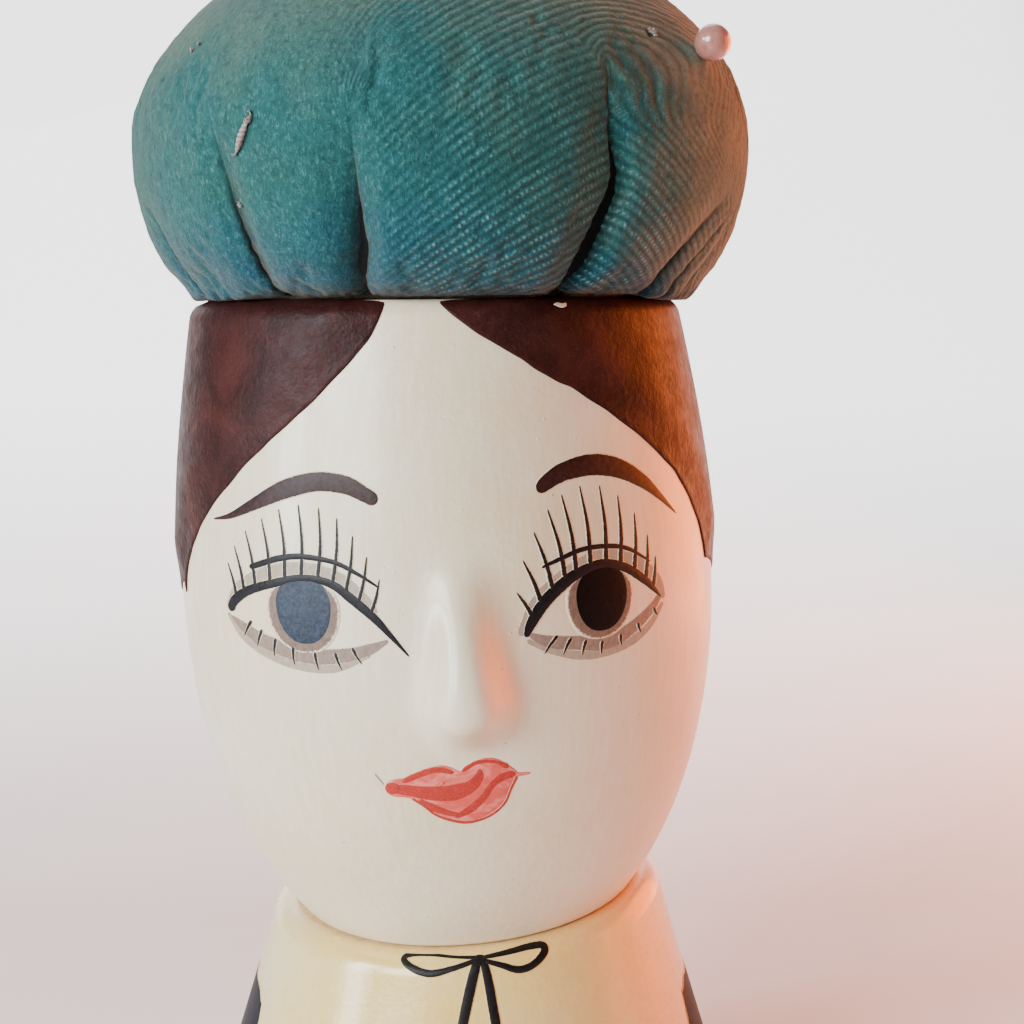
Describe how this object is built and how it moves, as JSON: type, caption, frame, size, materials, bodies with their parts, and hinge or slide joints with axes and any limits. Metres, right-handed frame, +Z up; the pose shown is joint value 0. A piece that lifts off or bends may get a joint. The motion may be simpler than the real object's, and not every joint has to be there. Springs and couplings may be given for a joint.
{
  "type": "pin cushion",
  "caption": "Painted wooden doll head and bust carrying a stuffed ribbed-velour pin cushion like a beret, with a pearl-headed pin; the head turns and lifts off on a neck dowel.",
  "frame": {"origin": "centre of the bottom face, on the axis of the bust, on the surface it stands on", "axes": "+Z up, the face looks along -Y, +X is to the viewer's right"},
  "size_m": [0.0751, 0.074, 0.16],
  "materials": {
    "bust_paint": "glossy cream enamel over turned wood",
    "face_paint": "satin cream enamel over turned wood, with fine pits",
    "hair_paint": "brushed dark brown enamel over built-up composition",
    "dowel_wood": "bare turned beech",
    "felt": "pressed wool felt",
    "card": "grey-brown card",
    "thread": "waxed cotton thread",
    "filling": "packed wool and sawdust",
    "velour": "ribbed teal knit velour",
    "pearl": "imitation pearl",
    "steel": "nickel-plated steel wire"
  },
  "bodies": {
    "bust": {"bust": "bust_paint", "base_felt": "felt"},
    "neck_dowel": {"neck_dowel": "dowel_wood"},
    "head": {"head": "face_paint", "nose": "face_paint", "hair_relief": "hair_paint", "cushion_board": "card", "gathering_thread": "thread", "cushion_filling": "filling", "cushion_cover": "velour"},
    "pearl_pin": {"pin_bead": "pearl", "pin_shaft": "steel"}
  },
  "joints": [
    {"name": "head_lift", "type": "slide", "parent": "bust", "child": "neck_dowel", "axis": [-0.0784, -0.0436, 0.996], "range_m": [0, 0.022]},
    {"name": "head_turn", "type": "hinge", "parent": "neck_dowel", "child": "head", "pos_m": [-0.0009, -0.002, 0.0445], "axis": [-0.0784, -0.0436, 0.996], "continuous": true},
    {"name": "pin_pull", "type": "slide", "parent": "head", "child": "pearl_pin", "axis": [0.5679, -0.4503, 0.689], "range_m": [0, 0.036]}
  ]
}
